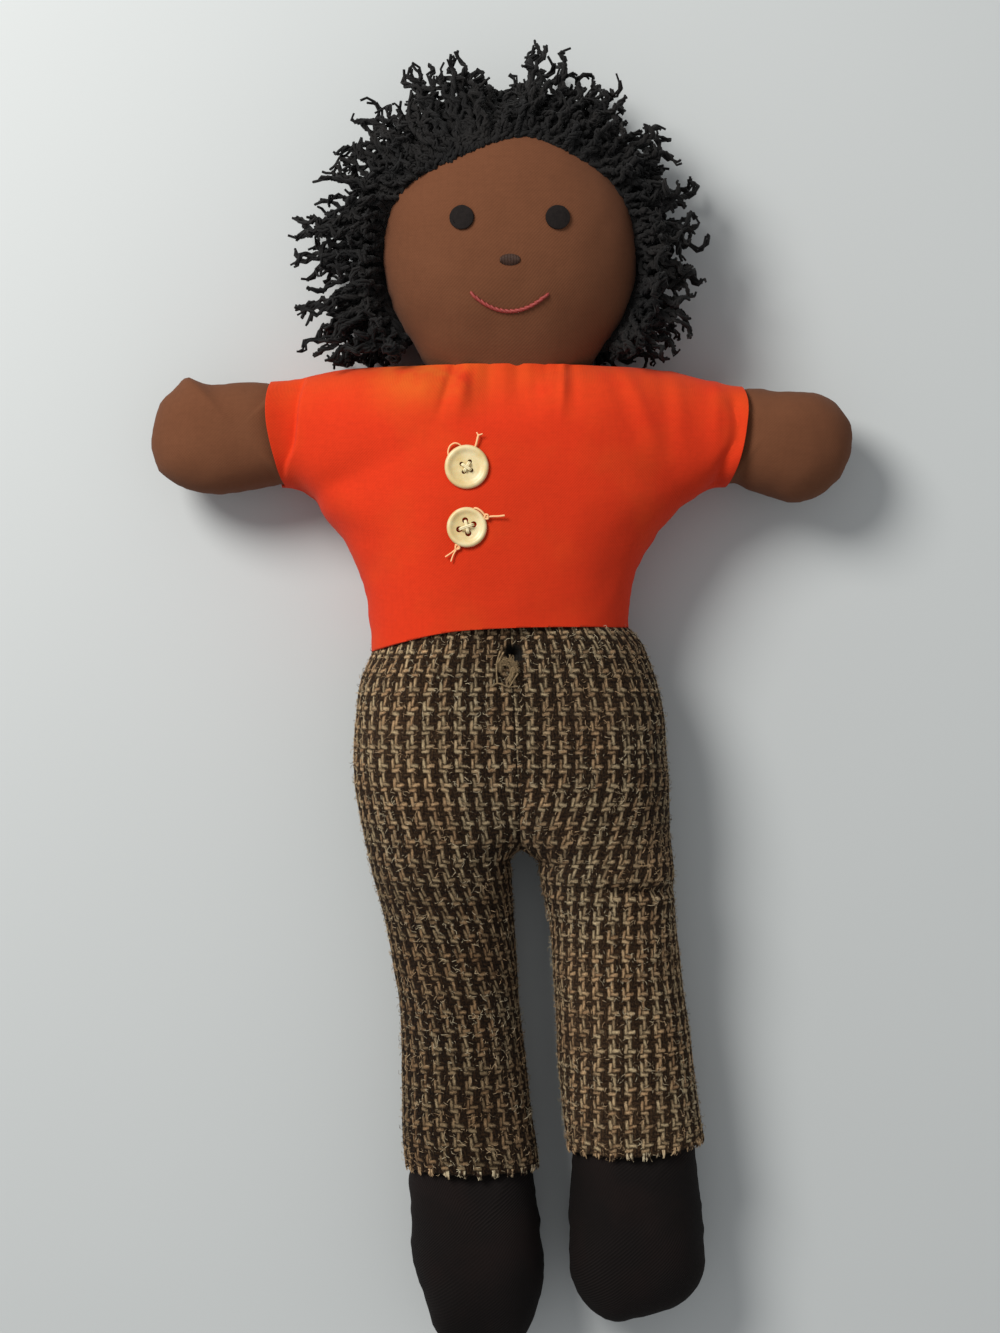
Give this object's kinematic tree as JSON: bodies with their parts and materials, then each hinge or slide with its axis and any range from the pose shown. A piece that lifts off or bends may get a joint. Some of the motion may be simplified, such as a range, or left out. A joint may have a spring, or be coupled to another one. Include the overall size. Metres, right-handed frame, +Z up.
{
  "type": "cloth doll",
  "caption": "Hand-sewn stuffed cloth doll lying on its back, with yarn hair, an orange top with shell buttons, tweed trousers and twill boots; neck, shoulders and hips bend.",
  "frame": {"origin": "on the table, under the middle of the doll's overall box", "axes": "+Z up out of the chest as the doll lies on its back, +Y towards the head, +X towards the doll's left hand"},
  "size_m": [0.2046, 0.3786, 0.0525],
  "materials": {
    "orange_cotton": "plain-woven cotton, matte, slightly faded at the neck",
    "brown_cotton": "plain-woven brown cotton, matte",
    "brown_tweed": "coarse wool tweed in a small brown, black and beige check",
    "black_twill": "fine diagonal twill, nearly black",
    "dark_yarn": "kinked dark wool yarn",
    "wadding": "loose cotton wadding",
    "dark_felt": "pressed felt",
    "brown_thread": "satin-stitched cotton thread",
    "rose_thread": "satin-stitched cotton thread",
    "ivory_shell": "polished ivory-coloured shell",
    "cream_thread": "cream cotton sewing thread"
  },
  "bodies": {
    "torso": {"top_front_panel": "orange_cotton", "top_back_panel": "orange_cotton", "torso_stuffing": "wadding", "upper_button": "ivory_shell", "upper_button_thread": "cream_thread", "lower_button": "ivory_shell", "lower_button_thread": "cream_thread", "trousers_left_seat": "brown_tweed", "trousers_right_seat": "brown_tweed", "seat_stuffing": "wadding", "waist_knot": "brown_tweed"},
    "head": {"face_panel": "brown_cotton", "head_back_panel": "brown_cotton", "head_stuffing": "wadding", "hair_back": "dark_yarn", "hair_crown": "dark_yarn", "hair_left": "dark_yarn", "hair_right": "dark_yarn", "left_eye": "dark_felt", "right_eye": "dark_felt", "nose": "brown_thread", "mouth": "rose_thread"},
    "left_arm": {"left_sleeve_front": "orange_cotton", "left_sleeve_back": "orange_cotton", "left_hand_front": "brown_cotton", "left_hand_back": "brown_cotton", "left_arm_stuffing": "wadding"},
    "right_arm": {"right_sleeve_front": "orange_cotton", "right_sleeve_back": "orange_cotton", "right_hand_front": "brown_cotton", "right_hand_back": "brown_cotton", "right_arm_stuffing": "wadding"},
    "left_leg": {"left_trouser_leg": "brown_tweed", "left_boot_front": "black_twill", "left_boot_back": "black_twill", "left_leg_stuffing": "wadding"},
    "right_leg": {"right_trouser_leg": "brown_tweed", "right_boot_front": "black_twill", "right_boot_back": "black_twill", "right_leg_stuffing": "wadding"}
  },
  "joints": [
    {"name": "neck_nod", "type": "hinge", "parent": "torso", "child": "head", "pos_m": [0.00125, 0.09827, 0.024], "axis": [1, 0, 0], "range_deg": [0, 25], "stiffness_Nm_per_rad": 0.03},
    {"name": "left_shoulder", "type": "hinge", "parent": "torso", "child": "left_arm", "pos_m": [0.05375, 0.08, 0.0225], "axis": [0, -1, 0], "range_deg": [0, 60], "stiffness_Nm_per_rad": 0.01},
    {"name": "right_shoulder", "type": "hinge", "parent": "torso", "child": "right_arm", "pos_m": [-0.05625, 0.08, 0.0225], "axis": [0, 1, 0], "range_deg": [0, 60], "stiffness_Nm_per_rad": 0.01},
    {"name": "left_hip", "type": "hinge", "parent": "torso", "child": "left_leg", "pos_m": [0.026, -0.03073, 0.023], "axis": [-1, 0, 0], "range_deg": [0, 60], "stiffness_Nm_per_rad": 0.03},
    {"name": "right_hip", "type": "hinge", "parent": "torso", "child": "right_leg", "pos_m": [-0.019, -0.03073, 0.023], "axis": [-1, 0, 0], "range_deg": [0, 60], "stiffness_Nm_per_rad": 0.03}
  ]
}
